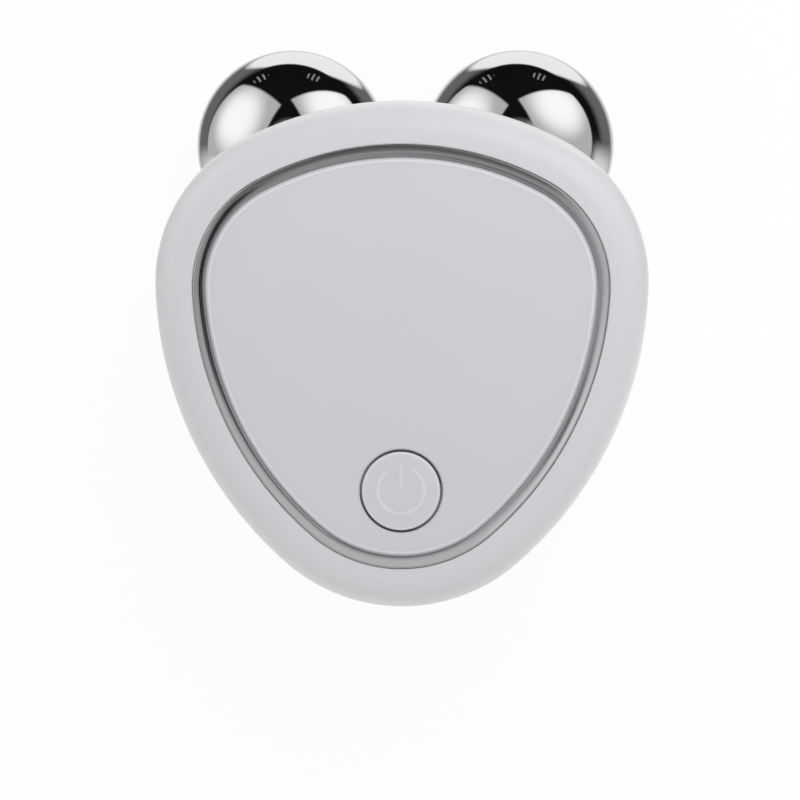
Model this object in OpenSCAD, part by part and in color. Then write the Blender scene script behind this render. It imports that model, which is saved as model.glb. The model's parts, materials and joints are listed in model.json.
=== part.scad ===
// Palm-size facial toning device: a rounded triangular body with a front plate,
// a polished trim ring and a push button, and two polished balls that roll on
// splayed axles in cups at the back of its upper edge.
//
// The device lies on its back. Z points up out of the front plate, Y points
// towards the balls, and the origin is the middle of the flat rest face.
// All sizes are in millimetres.

/* [Body outline] */
// Width of the body
body_w = 62; // [61:0.5:65]
// Height of the body, from the nose to the upper edge
body_h = 63.5; // [62.5:0.5:66]
// Radius of the upper edge
top_r = 43.5; // [41:0.5:48]
// Radius of the two upper corners
corner_r = 20; // [19.5:0.5:21]
// Radius of the two long sides
side_r = 48; // [46:0.5:54]
// Radius of the lower end, the nose
nose_r = 22; // [21:0.5:23]

/* [Casing] */
// Wall of the two shells
wall = 2; // [1.6:0.1:2.2]
// How far the flat rest face lies inside the outline
base_inset = 16; // [15:0.5:17]
// Thickness of the rear shell over the ball cups
cup_roof = 2.1; // [1.9:0.1:2.6]
// Height of the front shell above the parting line
front_h = 7.7; // [7.4:0.1:8.6]
// Width of the rounding around the front shell
rim_w = 4; // [3:0.25:4.5]
// Height of that rounding
rim_h = 4.8; // [3.5:0.25:5]
// Height of the tongue that locates the shells
lap_h = 1.15; // [0.8:0.05:1.3]
// Clearance around that tongue
lap_gap = 0.1; // [0.05:0.05:0.2]
// Radius of the hollow between and behind the balls
saddle_r = 30; // [28:0.5:32]
// Distance of that hollow from the rest face
saddle_gap = 0.55; // [0.2:0.05:1.5]
// How far the centre of that hollow lies below the rest face
saddle_drop = 4; // [3:0.5:5]

/* [Front plate and trim] */
// Width of the shell's face around the trim ring
bezel_w = 4.9; // [4.6:0.05:5.3]
// How much wider that face is at the top
bezel_drop = 0.7; // [0.4:0.1:1]
// Width of the trim ring
trim_w = 1.9; // [1.8:0.05:2.2]
// How far the trim ring stands above the front plate
trim_rise = 0.25; // [0.1:0.05:0.4]
// How far the front plate lies below the shell's rim
plate_drop = 0.1; // [0:0.05:0.3]
// Thickness of the front plate
plate_t = 1.4; // [1.2:0.1:1.6]
// Thickness of the adhesive behind it
tape_t = 0.2; // [0.1:0.05:0.3]
// Width of the adhesive band
tape_w = 3; // [2:0.5:4]
// Thickness of the deck that carries the front plate
deck_t = 1.6; // [1.4:0.1:1.8]
// Clearance around the trim ring
seat_gap = 0.06; // [0.04:0.01:0.12]

/* [Button] */
// Diameter of the button's cap
button_d = 9.8; // [9:0.1:11]
// Clearance around the cap
button_gap = 0.3; // [0.2:0.05:0.4]
// Distance of the button from the nose
button_from_nose = 14.65; // [14:0.05:15.5]
// How far the cap stands above the front plate
button_rise = 0.15; // [0:0.05:0.4]
// Travel of the button
button_travel = 0.4; // [0.2:0.05:0.45]
// Thickness of the flange that keeps the button in
flange_t = 0.9; // [0.8:0.1:1]
// Width of that flange
flange_w = 1; // [0.8:0.1:1.3]

/* [Balls] */
// Diameter of a ball
ball_d = 24.5; // [24:0.25:25]
// Gap between the two balls
ball_gap = 4.6; // [4.4:0.1:5.2]
// How far a ball's centre lies behind the body's upper edge
ball_setback = 5.15; // [4.8:0.05:5.5]
// Wall of a ball
ball_wall = 1.4; // [1.2:0.1:1.6]
// Clearance between a ball and its cup
cup_gap = 0.8; // [0.6:0.05:0.9]
// Angle between an axle and the middle of the body
axle_splay = 34; // [32:1:36]
// Angle at which an axle dips towards the back
axle_dip = 22; // [20:1:24]

/* [Axles] */
// Diameter of an axle
axle_d = 4; // [3.6:0.1:4.2]
// Running clearance of the bush on the axle, on the radius
run_gap = 0.03; // [0.02:0.01:0.06]
// Clearance of fixed round fits, on the radius
fit_gap = 0.02; // [0.01:0.01:0.04]
// Wall of the bush
bush_wall = 1.17; // [1:0.01:1.3]
// Length of the bush
bush_l = 11.75; // [10:0.25:12]
// Outer diameter of the hub inside a ball
hub_d = 10; // [9.6:0.1:10.4]
// Depth of the hub past the bush
hub_chamber = 4; // [3:0.5:5]
// Diameter of the axle's collar
collar_d = 6; // [5.6:0.1:6.4]
// Thickness of the axle's collar
collar_t = 1.55; // [1.4:0.05:1.8]
// Thickness of the thrust washer
washer_t = 0.45; // [0.3:0.05:0.5]
// End play of a ball
end_play = 0.05; // [0.03:0.01:0.1]
// Thickness of the retaining clip
clip_t = 0.6; // [0.5:0.05:0.8]
// Diameter of the axle's threaded end
thread_d = 3; // [2.6:0.1:3]
// Length of an axle's boss in the rear shell, behind the collar
boss_l = 5.2; // [4.6:0.1:5.6]
// Diameter of that boss
boss_d = 8; // [7.6:0.1:8.6]

/* [Screws] */
// Diameter of the screws that join the shells
screw_d = 2; // [1.8:0.1:2.2]
// Length of those screws below the head
screw_l = 12; // [10:0.5:14]
// How far those screws lie inside the outline
screw_inset = 9.9; // [9.7:0.1:10.1]
// Diameter of the screws that hold the circuit board
board_screw_d = 1.6; // [1.4:0.1:1.7]

/* [Electronics] */
// Thickness of the circuit board
board_t = 1.6; // [1:0.2:1.6]
// How far the circuit board lies inside the outline
board_inset = 13.5; // [13.5:0.25:14.5]
// Clearance between the deck and the circuit board
board_drop = 4.8; // [4.7:0.05:5]
// Width and length of the push switch
switch_w = 6; // [5:0.5:6.5]
// Height of the push switch
switch_h = 3.2; // [3:0.1:3.4]
// Width of the battery
battery_w = 20; // [17:0.5:20]
// Length of the battery
battery_l = 28; // [24:0.5:28]
// Thickness of the battery
battery_t = 5; // [4:0.25:5.5]
// Thickness of the foam pad under the battery
pad_t = 0.8; // [0.5:0.1:1]
// Diameter of the leads
lead_d = 1.2; // [1:0.1:1.4]

/* [Charging socket] */
// Width of the socket
socket_w = 8.94; // [8.9:0.01:9]
// Height of the socket
socket_h = 3.2; // [3.16:0.01:3.26]
// Length of the socket
socket_l = 7.3; // [6.5:0.1:7.5]
// Thickness of the socket's sheet
socket_sheet = 0.3; // [0.25:0.01:0.32]
// How far the socket's mouth lies inside the nose
socket_setback = 0.75; // [0.5:0.05:1]

/* [Hidden] */
$fn = 96;
cut = 1;               // how far a cutter runs past a face
arc_step = 5;          // largest turn between two points of the outline, in degrees
loft_steps = 9;        // rings of a rounded shell
lead_sides = 8;
lead_rings = 12;

// Heights, from the rest face up
ball_r = ball_d / 2;
cup_r = ball_r + cup_gap;
split_z = ball_r + cup_r + cup_roof;
rim_z = split_z + front_h;
plate_z = rim_z - plate_drop;
deck_top_z = plate_z - plate_t - tape_t;
deck_z = deck_top_z - deck_t;
board_top_z = deck_z - board_drop;
board_z = board_top_z - board_t;

// Outlines of the body, and of its face inside the bezel
BODY = body_arcs(0);
STATIONS = loop_stations(BODY);
FACE = loop_stations(body_arcs(bezel_drop));

// Balls and axles, along the axle's own line from the ball's centre
ball_c = [(ball_d + ball_gap) / 2, body_h / 2 - ball_setback, ball_r];
ball_flat = 1;         // height of the flat where the hub shows
hub_face = ball_flat - ball_r;
bush_r = axle_d / 2 + run_gap + bush_wall;
bush_end = hub_face + bush_l;
hub_end = bush_end + hub_chamber;
chamber_wall = 0.9;
hub_seat_l = 3.5;      // length of the ball's inner collar, where the hub is pressed in
hub_seat_wall = 1.5;
washer_face = hub_face - end_play;
collar_face = washer_face - washer_t;
collar_seat = collar_face - collar_t;
boss_end = collar_seat - boss_l;
clip_gap = 0.12;       // between the bush and the clip
groove_gap = 0.02;     // between the clip and the sides of its groove
groove_d = 0.75 * axle_d;
clip_z = bush_end + clip_gap;
axle_tip = clip_z + clip_t + 1.2;
washer_r = bush_r + 0.4;
clip_r = bush_r + 0.2;
tag_t = 0.3;
tag_r = thread_d;
tag_l = 5.5;           // from the axle's centre to the end of the tag
tag_w = 2.4;
nut_t = 2;
nut_af = 5.5;
thread_end = boss_end - tag_t - nut_t - 0.6;

// Leads from the tags to the underside of the circuit board, on the right side
axle_out = [sin(axle_splay) * cos(axle_dip), cos(axle_splay) * cos(axle_dip), -sin(axle_dip)];
tag_up = [sin(axle_splay) * sin(axle_dip), cos(axle_splay) * sin(axle_dip), cos(axle_dip)];
tag_end = ball_c + (boss_end - tag_t - lead_d / 2) * axle_out + (tag_l - 0.8) * tag_up;
lead_spot = [6, 4, board_z];
lead_sweep = 5;        // from each end of a lead to the control point of its curve

// Hollow behind the balls
saddle_c = [body_h / 2 - base_inset + saddle_gap + sqrt(pow(saddle_r, 2) - pow(saddle_drop, 2)),
            -saddle_drop];

// Button and switch
button_c = [0, button_from_nose - body_h / 2];
well_r = button_d / 2 + flange_w + button_gap;
well_floor = 1.2;      // thickness of the deck under the flange
flange_top = plate_z - plate_t - 0.05;
flange_z = flange_top - flange_t;
well_z = flange_z - button_travel - 0.15;
stem_r = 2.2;
plunger_r = 1.75;
plunger_rise = 1;      // above the switch
plunger_l = 2;
plunger_gap = 0.1;
switch_top_z = board_top_z + switch_h;
stem_z = switch_top_z + plunger_rise;
symbol_r = 2.9;        // the raised ring and bar on the cap
symbol_w = 0.5;
symbol_h = 0.1;
symbol_open = 60;

// Screws
head_d = 1.9 * screw_d;
head_t = 0.65 * screw_d;
head_z = deck_top_z - head_t - 0.2;
screw_boss_d = screw_d + 3.2;
screw_tube_d = screw_boss_d + 0.8;
screw_turns = [-3, -37];  // directions from the arcs' centres
screw_spots = [for (a = screw_turns, s = [1, -1]) let (p = edge_point(screw_inset, a)) [s * p[0], p[1]]];
board_screw_l = 4.2;
board_head_d = 1.9 * board_screw_d;
board_head_t = 1;
post_d = board_screw_d + 2.8;
post_spots = [[11, -3], [-11, -3], [0, 12.5]];

// Board and what is on it
board_upper_y = 15;
board_tab_w = 13;
board_tab_end = wall + 1.75;   // from the nose
chip_w = 7;
chip_t = 0.9;
chip_spot = [0, 3];
charger_size = [3.9, 4.9, 1.4];
charger_spot = [5.5, -11];
inductor_d = 6;
inductor_t = 3;
inductor_spot = [-5, -11];
capacitor_size = [1.6, 3.2, 1.6];
capacitor_pitch = 3;
capacitor_mid = [9.2, 6.5];
capacitor_spots = [for (i = [-1:1]) capacitor_mid + [0, i * capacitor_pitch]];

// Trim ring
trim_crown = 0.66;     // where its crown lies, as a share of its width
trim_sag = 0.1;        // from the crown down to its outer edge
trim_edge = 0.06;
channel_w = 0.34;
channel_d = 0.35;

// Battery
rib_h = 2.2;
rib_t = 1.2;
pad_z = wall + rib_h;
battery_z = pad_z + pad_t;
battery_c = [0, -2];
battery_corner = 1.5;
tray_gap = 0.3;
tray_h = 4;
battery_lead_pitch = 3.2;
battery_lead_back = 3;    // from the battery's end to where a lead meets the board
battery_lead_sweep = 8;   // how far the curve's first control point lies from that end
battery_lead_rise = 7;    // how far its second one lies below the board

// Charging socket
socket_z = board_z - socket_h / 2;
socket_y = socket_setback - body_h / 2;
socket_gap = 0.25;
tongue_w = 6.7;
tongue_t = 0.7;
tongue_back = 1;       // thickness of the insulator at the back
tongue_setback = 0.6;

// Colours
shell_white = [0.87, 0.86, 0.89];
plate_white = [0.83, 0.82, 0.85];
polished = [0.82, 0.82, 0.84];
steel = [0.62, 0.63, 0.65];
brass = [0.8, 0.65, 0.33];
bronze = [0.68, 0.5, 0.3];
board_green = [0.08, 0.36, 0.22];
dark_plastic = [0.1, 0.1, 0.11];
tan_ceramic = [0.75, 0.6, 0.42];
foil = [0.75, 0.76, 0.78];
foam_grey = [0.3, 0.3, 0.32];

// ---- outline ----

// Direction from p to q, in degrees
function direction(p, q) = atan2(q[1] - p[1], q[0] - p[0]);

// Where the circle of radius ra about a meets the one of radius rb about b, on the left
function circles_meet(a, ra, b, rb) =
    let (d = norm(b - a), u = (b - a) / d,
         along = (ra * ra - rb * rb + d * d) / (2 * d),
         off = sqrt(ra * ra - along * along))
    a + along * u + off * [u[1], -u[0]];

// Points of one arc, as [centre x, centre y, radius, direction], without its last
function arc_stations(c, r, a0, a1) =
    let (n = ceil(abs(a1 - a0) / arc_step))
    [for (i = [0:n - 1]) [c[0], c[1], r, a0 + (a1 - a0) * i / n]];

// The right half of the outline, as arcs of [centre, radius, first direction, last direction].
// Each arc is tangent to the next, and the upper ones lie lower by drop.
function body_arcs(drop) =
    let (top = [0, body_h / 2 - drop - top_r],
         lean = sqrt(pow(top_r - corner_r, 2) - pow(body_w / 2 - corner_r, 2)),
         corner = [body_w / 2 - corner_r, top[1] + lean],
         nose = [0, nose_r - body_h / 2],
         side = circles_meet(corner, side_r - corner_r, nose, side_r - nose_r),
         corner_a = direction(top, corner),
         side_a = direction(side, corner),
         nose_a = direction(side, nose))
    [[top, top_r, 90, corner_a], [corner, corner_r, corner_a, side_a],
     [side, side_r, side_a, nose_a], [nose, nose_r, nose_a, -90]];

// The arcs and their mirror images as one closed loop of points
function loop_stations(arcs) =
    let (half = concat([for (k = arcs) each arc_stations(k[0], k[1], k[2], k[3])],
                       [[arcs[3][0][0], arcs[3][0][1], arcs[3][1], -90]]))
    concat(half,
        [for (i = [len(half) - 2:-1:1]) [-half[i][0], half[i][1], half[i][2], 180 - half[i][3]]]);

// The outline moved inwards
function outline(inset, loop) =
    [for (s = loop) [s[0] + (s[2] - inset) * cos(s[3]), s[1] + (s[2] - inset) * sin(s[3])]];

// The point of the right half of the moved body outline that faces the direction a
function edge_point(inset, a) =
    let (k = [for (k = BODY) if (a <= k[2] && a >= k[3]) k][0])
    k[0] + (k[1] - inset) * [cos(a), sin(a)];

// A solid through rings of the outline, each given as [inset, z], from the bottom up
module loft(rings) {
    n = len(STATIONS);
    last = (len(rings) - 1) * n;
    polyhedron(
        points = [for (k = rings, p = outline(k[0], STATIONS)) [p[0], p[1], k[1]]],
        faces = concat(
            [[for (j = [n - 1:-1:0]) j]],
            [for (k = [0:len(rings) - 2], j = [0:n - 1])
                let (a = k * n + j, b = k * n + (j + 1) % n) [a, b, b + n, a + n]],
            [[for (j = [0:n - 1]) last + j]]));
}

// A closed band that follows the face's outline; its section is a loop of [inset, z] points
module band(section) {
    n = len(FACE);
    m = len(section);
    polyhedron(
        points = [for (k = section, p = outline(k[0], FACE)) [p[0], p[1], k[1]]],
        faces = [for (k = [0:m - 1], j = [0:n - 1])
            let (k2 = (k + 1) % m, j2 = (j + 1) % n)
            [k * n + j, k * n + j2, k2 * n + j2, k2 * n + j]]);
}

// A straight-sided block of an outline between two heights
module slab(inset, z0, z1, loop = STATIONS) {
    translate([0, 0, z0])
        linear_extrude(z1 - z0)
            polygon(outline(inset, loop));
}

// ---- small shapes ----

module rod(r, z0, z1) {
    translate([0, 0, z0])
        cylinder(r = r, h = z1 - z0);
}

module tube(r, bore, z0, z1) {
    difference() {
        rod(r, z0, z1);
        rod(bore, z0 - cut, z1 + cut);
    }
}

module block(size, centre, z0) {
    translate([centre[0] - size[0] / 2, centre[1] - size[1] / 2, z0])
        cube(size);
}

// A rectangle with round corners
function round_rect(w, h, r, n = 8) =
    [for (q = [0:3], i = [0:n])
        let (a = 90 * q + 90 * i / n,
             sx = q == 0 || q == 3 ? 1 : -1,
             sy = q < 2 ? 1 : -1)
        [sx * (w / 2 - r) + r * cos(a), sy * (h / 2 - r) + r * sin(a)]];

// An oblong that runs from y0 to y1 with its middle at height z
module oblong(w, h, y0, y1, z) {
    translate([0, y1, z])
        rotate([90, 0, 0])
            linear_extrude(y1 - y0)
                polygon(round_rect(w, h, h / 2 - 0.01));
}

// A round lead along a smooth curve between four points
function curve(p, t) =
    pow(1 - t, 3) * p[0] + 3 * t * pow(1 - t, 2) * p[1] + 3 * t * t * (1 - t) * p[2] + pow(t, 3) * p[3];
function unit(v) = v / norm(v);
function heading(p, t) = unit(curve(p, min(t + 0.01, 1)) - curve(p, max(t - 0.01, 0)));

module lead(p) {
    n = lead_sides;
    last = lead_rings * n;
    polyhedron(
        points = [for (k = [0:lead_rings])
            let (t = k / lead_rings, h = heading(p, t), u = unit(cross(h, [1, 0, 0])), v = cross(h, u))
            for (i = [0:n - 1])
                curve(p, t) + lead_d / 2 * (cos(360 * i / n) * u + sin(360 * i / n) * v)],
        faces = concat(
            [[for (i = [0:n - 1]) i]],
            [for (k = [0:lead_rings - 1], i = [0:n - 1])
                let (a = k * n + i, b = k * n + (i + 1) % n) [b, a, a + n, b + n]],
            [[for (i = [n - 1:-1:0]) last + i]]));
}

// Puts its children on the right or left axle: z runs from the ball's centre out
module on_axle(right) {
    mirror([right ? 0 : 1, 0, 0])
        translate(ball_c)
            rotate([0, 90 + axle_dip, 90 - axle_splay])
                children();
}

module both_axles() {
    on_axle(true)
        children();
    on_axle(false)
        children();
}

// ---- casing ----

module rear_form() {
    loft([for (i = [loft_steps:-1:0])
        let (t = 90 * i / loft_steps)
        [base_inset * (1 - cos(t)), split_z * (1 - sin(t))]]);
}

module rear_hollow() {
    loft(concat(
        [for (i = [loft_steps:-1:0])
            let (t = 90 * i / loft_steps)
            [wall + base_inset * (1 - cos(t)), wall + (split_z - wall) * (1 - sin(t))]],
        [[wall, split_z + cut]]));
}

module saddle(r) {
    translate([-body_w, saddle_c[0], saddle_c[1]])
        rotate([0, 90, 0])
            cylinder(r = r, h = 2 * body_w);
}

module cups(r) {
    for (s = [1, -1])
        translate([s * ball_c[0], ball_c[1], ball_c[2]])
            sphere(r);
}

module screw_bosses() {
    for (p = screw_spots)
        translate([p[0], p[1], 0])
            rod(screw_boss_d / 2, 0, split_z + 2 * cut);
}

module battery_tray() {
    for (y = [-9, -1, 7])
        block([battery_w - 4, rib_t, pad_z], [0, battery_c[1] + y], 0);
    for (s = [1, -1])
        block([rib_t, battery_l / 2, battery_z + tray_h],
            [s * (battery_w / 2 + tray_gap + rib_t / 2), battery_c[1] + 3], 0);
}

// What stands in the rear shell's hollow
module rear_inside() {
    saddle(saddle_r + wall);
    cups(cup_r + wall - 0.2);
    both_axles()
        rod(boss_d / 2, boss_end, -ball_r);
    screw_bosses();
    battery_tray();
}

module rear_shell() {
    color(shell_white)
        difference() {
            rear_form();
            difference() {
                rear_hollow();
                rear_inside();
            }
            saddle(saddle_r);
            cups(cup_r);
            // seat and hole of each axle
            both_axles() {
                rod(collar_d / 2 + 0.5, collar_seat, -ball_r);
                rod(axle_d / 2 + fit_gap, boss_end - cut, -ball_r);
            }
            // step for the front shell's tongue
            difference() {
                slab(wall / 2, split_z - lap_h - lap_gap, split_z + cut);
                slab(wall + lap_gap, split_z - lap_h - 2 * lap_gap, split_z + 2 * cut);
            }
            // slot of the charging socket
            oblong(socket_w + 2 * socket_gap, socket_h + 2 * socket_gap,
                -body_h / 2 - cut, socket_y + wall + cut, socket_z);
            // pilot holes
            for (p = screw_spots)
                translate([p[0], p[1], 0])
                    rod(screw_d / 2 + fit_gap, head_z - screw_l - 0.5, split_z + cut);
        }
}

module front_form() {
    loft(concat(
        [[0, split_z]],
        [for (i = [0:loft_steps - 2])
            let (t = 90 * i / (loft_steps - 2))
            [rim_w * (1 - cos(t)), rim_z - rim_h + rim_h * sin(t)]]));
}

module front_shell() {
    color(shell_white)
        difference() {
            union() {
                difference() {
                    union() {
                        front_form();
                        slab(wall / 2 + lap_gap, split_z - lap_h, split_z + cut);
                    }
                    slab(wall, split_z - lap_h - cut, deck_z);
                    slab(bezel_w, deck_top_z, rim_z + cut, FACE);
                }
                // floor of the button's well
                translate([button_c[0], button_c[1], 0])
                    rod(well_r + 1.2, well_z - well_floor, deck_z + deck_t / 2);
                // tubes of the screws, and posts of the circuit board
                for (p = screw_spots)
                    translate([p[0], p[1], 0])
                        rod(screw_tube_d / 2, split_z, deck_z + deck_t / 2);
                for (p = post_spots)
                    translate([p[0], p[1], 0])
                        rod(post_d / 2, board_top_z, deck_z + deck_t / 2);
            }
            translate([button_c[0], button_c[1], 0]) {
                rod(well_r, well_z, deck_top_z + cut);
                rod(stem_r + 0.4, well_z - well_floor - cut, well_z + cut);
            }
            for (p = screw_spots)
                translate([p[0], p[1], 0]) {
                    rod(screw_d / 2 + 0.15, split_z - cut, head_z + cut);
                    rod(head_d / 2 + 0.2, head_z, deck_top_z + cut);
                }
            for (p = post_spots)
                translate([p[0], p[1], 0])
                    rod(board_screw_d / 2 + fit_gap, board_top_z - cut, board_z + board_screw_l + 0.4);
        }
}

// A polished ring: it rises to its crown near the plate, with a channel beside the plate
module trim_ring() {
    o = bezel_w + seat_gap;
    i = bezel_w + trim_w - seat_gap;
    crown = o + trim_crown * (i - o);
    lip = i - channel_w;
    top = plate_z + trim_rise;
    floor_z = plate_z - channel_d;
    color(polished)
        band([
            [o, deck_top_z],
            [o, top - trim_sag - trim_edge],
            [o + trim_edge, top - trim_sag],
            [(o + crown) / 2, top - trim_sag / 4],
            [crown, top],
            [lip - trim_edge, top - trim_edge / 4],
            [lip, top - trim_edge],
            [lip, floor_z],
            [i, floor_z],
            [i, deck_top_z]]);
}

module front_plate() {
    color(plate_white)
        difference() {
            slab(bezel_w + trim_w, plate_z - plate_t, plate_z, FACE);
            translate([button_c[0], button_c[1], 0])
                rod(button_d / 2 + button_gap, plate_z - plate_t - cut, plate_z + cut);
        }
}

module plate_tape() {
    edge = bezel_w + trim_w + 0.6;
    color(tan_ceramic)
        difference() {
            slab(edge, deck_top_z, deck_top_z + tape_t, FACE);
            difference() {
                slab(edge + tape_w, deck_top_z - cut, deck_top_z + tape_t + cut, FACE);
                translate([button_c[0], button_c[1], 0])
                    rod(well_r + tape_w - 0.6, deck_top_z - 2 * cut, deck_top_z + tape_t + 2 * cut);
            }
            translate([button_c[0], button_c[1], 0])
                rod(well_r + 0.2, deck_top_z - cut, deck_top_z + tape_t + cut);
        }
}

// A pan-head screw: the head's seat at z, the shank down from it
module screw(d, l, head_w, head_h, z) {
    difference() {
        union() {
            rod(head_w / 2, z, z + head_h);
            rod(d / 2, z - l, z + head_h / 2);
        }
        for (a = [0, 90])
            translate([0, 0, z + head_h])
                rotate([0, 0, a])
                    cube([0.65 * head_w, 0.16 * head_w, 0.8 * head_h], center = true);
    }
}

module housing_screws() {
    color(steel)
        for (p = screw_spots)
            translate([p[0], p[1], 0])
                screw(screw_d, screw_l, head_d, head_t, head_z);
}

// ---- button and switch ----

module power_button() {
    cap_z = plate_z + button_rise;
    color(plate_white)
        translate([button_c[0], button_c[1], 0]) {
            rod(button_d / 2, flange_z, cap_z);
            rod(button_d / 2 + flange_w, flange_z, flange_top);
            rod(stem_r, stem_z, flange_z + 0.2);
            translate([0, 0, cap_z - 0.1])
                rotate([0, 0, 90 + symbol_open / 2])
                    rotate_extrude(angle = 360 - symbol_open)
                        translate([symbol_r - symbol_w / 2, 0])
                            square([symbol_w, symbol_h + 0.1]);
            block([symbol_w, symbol_r, symbol_h + 0.1], [0, symbol_r * 0.65], cap_z - 0.1);
        }
}

module switch_body() {
    color(dark_plastic)
        difference() {
            block([switch_w, switch_w, switch_h], button_c, board_top_z);
            translate([button_c[0], button_c[1], 0])
                rod(plunger_r + plunger_gap, stem_z - plunger_l - button_travel - 0.1, switch_top_z + cut);
        }
}

module switch_plunger() {
    color(foil)
        translate([button_c[0], button_c[1], 0])
            rod(plunger_r, stem_z - plunger_l, stem_z);
}

// ---- electronics ----

module circuit_board() {
    color(board_green)
        difference() {
            union() {
                intersection() {
                    slab(board_inset, board_z, board_top_z);
                    block([body_w, body_h, board_t + 2 * cut],
                        [0, board_upper_y - body_h / 2], board_z - cut);
                }
                translate([-board_tab_w / 2, board_tab_end - body_h / 2, board_z])
                    cube([board_tab_w, body_h / 2 - board_tab_end, board_t]);
            }
            for (p = post_spots)
                translate([p[0], p[1], 0])
                    rod(board_screw_d / 2 + 0.1, board_z - cut, board_top_z + cut);
        }
}

module board_screws() {
    color(steel)
        for (p = post_spots)
            translate([p[0], p[1], board_z])
                rotate([180, 0, 0])
                    screw(board_screw_d, board_screw_l, board_head_d, board_head_t, 0);
}

module control_chip() {
    color(dark_plastic)
        block([chip_w, chip_w, chip_t], chip_spot, board_top_z);
}

module charger_chip() {
    color(dark_plastic)
        block(charger_size, charger_spot, board_z - charger_size[2]);
}

module boost_inductor() {
    color(foam_grey)
        translate([inductor_spot[0], inductor_spot[1], 0])
            rod(inductor_d / 2, board_z - inductor_t, board_z);
}

module filter_capacitors() {
    color(tan_ceramic)
        for (p = capacitor_spots)
            block([capacitor_size[1], capacitor_size[0], capacitor_size[2]], p, board_top_z);
}

module charging_socket() {
    y1 = socket_y + socket_l;
    color(foil)
        difference() {
            oblong(socket_w, socket_h, socket_y, y1, socket_z);
            oblong(socket_w - 2 * socket_sheet, socket_h - 2 * socket_sheet,
                socket_y - cut, y1 - socket_sheet, socket_z);
        }
}

module socket_tongue() {
    y1 = socket_y + socket_l - socket_sheet;
    inner = socket_sheet + fit_gap;
    color(dark_plastic) {
        oblong(socket_w - 2 * inner, socket_h - 2 * inner, y1 - tongue_back, y1, socket_z);
        translate([-tongue_w / 2, socket_y + tongue_setback, socket_z - tongue_t / 2])
            cube([tongue_w, y1 - tongue_back / 2 - socket_y - tongue_setback, tongue_t]);
    }
}

module battery() {
    color(foil)
        translate([battery_c[0], battery_c[1], battery_z])
            linear_extrude(battery_t)
                polygon(round_rect(battery_w, battery_l, battery_corner));
}

module battery_pad() {
    color(foam_grey)
        block([battery_w - 3, battery_l - 4, pad_t], battery_c, pad_z);
}

module battery_leads() {
    y0 = battery_c[1] - battery_l / 2 - 0.05;
    y1 = y0 - battery_lead_back;
    z0 = battery_z + battery_t / 2;
    color("firebrick")
        for (s = [1, -1])
            let (x = s * battery_lead_pitch / 2)
            lead([[x, y0, z0], [x, y0 - battery_lead_sweep, z0],
                  [x, y1, board_z - battery_lead_rise], [x, y1, board_z]]);
}

// ---- balls and their axles ----

module ball() {
    color(polished)
        difference() {
            sphere(ball_r);
            difference() {
                sphere(ball_r - ball_wall);
                rod(hub_d / 2 + hub_seat_wall, -ball_r, hub_face + hub_seat_l);
            }
            rod(hub_d / 2 + fit_gap, -ball_r - cut, hub_face + hub_seat_l + cut);
            rod(hub_d, -ball_r - cut, hub_face);
        }
}

module hub() {
    color(brass)
        difference() {
            rod(hub_d / 2, hub_face, hub_end);
            rod(bush_r + fit_gap, hub_face - cut, bush_end + cut);
            rod(hub_d / 2 - chamber_wall, bush_end, hub_end + cut);
        }
}

module bush() {
    color(bronze)
        tube(bush_r, axle_d / 2 + run_gap, hub_face, bush_end);
}

module clip() {
    color(steel)
        difference() {
            tube(clip_r, groove_d / 2, clip_z, clip_z + clip_t);
            translate([0, -groove_d * 0.4, clip_z - cut])
                cube([clip_r + cut, groove_d * 0.8, clip_t + 2 * cut]);
        }
}

module washer() {
    color(steel)
        tube(washer_r, axle_d / 2 + fit_gap, collar_face, washer_face);
}

module axle() {
    color(steel)
        difference() {
            union() {
                rod(axle_d / 2, boss_end, axle_tip);
                rod(collar_d / 2, collar_seat, collar_face);
                rod(thread_d / 2, thread_end, boss_end + cut);
            }
            tube(axle_d, groove_d / 2, clip_z - groove_gap, clip_z + clip_t + groove_gap);
        }
}

module nut() {
    z1 = boss_end - tag_t;
    color(brass)
        difference() {
            translate([0, 0, z1 - nut_t])
                cylinder(r = nut_af / 2 / cos(30), h = nut_t, $fn = 6);
            rod(thread_d / 2 + fit_gap, z1 - nut_t - cut, z1 + cut);
        }
}

module terminal() {
    z0 = boss_end - tag_t;
    color(brass)
        difference() {
            union() {
                rod(tag_r, z0, boss_end);
                translate([-tag_l, -tag_w / 2, z0])
                    cube([tag_l, tag_w, tag_t]);
            }
            rod(thread_d / 2 + fit_gap, z0 - cut, boss_end + cut);
        }
}

module electrode_lead(right) {
    color("seagreen")
        mirror([right ? 0 : 1, 0, 0])
            lead([tag_end, tag_end - lead_sweep * axle_out, lead_spot - [0, 0, lead_sweep], lead_spot]);
}

module right_ball() { on_axle(true) ball(); }
module right_hub() { on_axle(true) hub(); }
module right_bush() { on_axle(true) bush(); }
module right_clip() { on_axle(true) clip(); }
module right_washer() { on_axle(true) washer(); }
module right_axle() { on_axle(true) axle(); }
module right_nut() { on_axle(true) nut(); }
module right_terminal() { on_axle(true) terminal(); }
module right_lead() { electrode_lead(true); }
module left_ball() { on_axle(false) ball(); }
module left_hub() { on_axle(false) hub(); }
module left_bush() { on_axle(false) bush(); }
module left_clip() { on_axle(false) clip(); }
module left_washer() { on_axle(false) washer(); }
module left_axle() { on_axle(false) axle(); }
module left_nut() { on_axle(false) nut(); }
module left_terminal() { on_axle(false) terminal(); }
module left_lead() { electrode_lead(false); }

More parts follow.
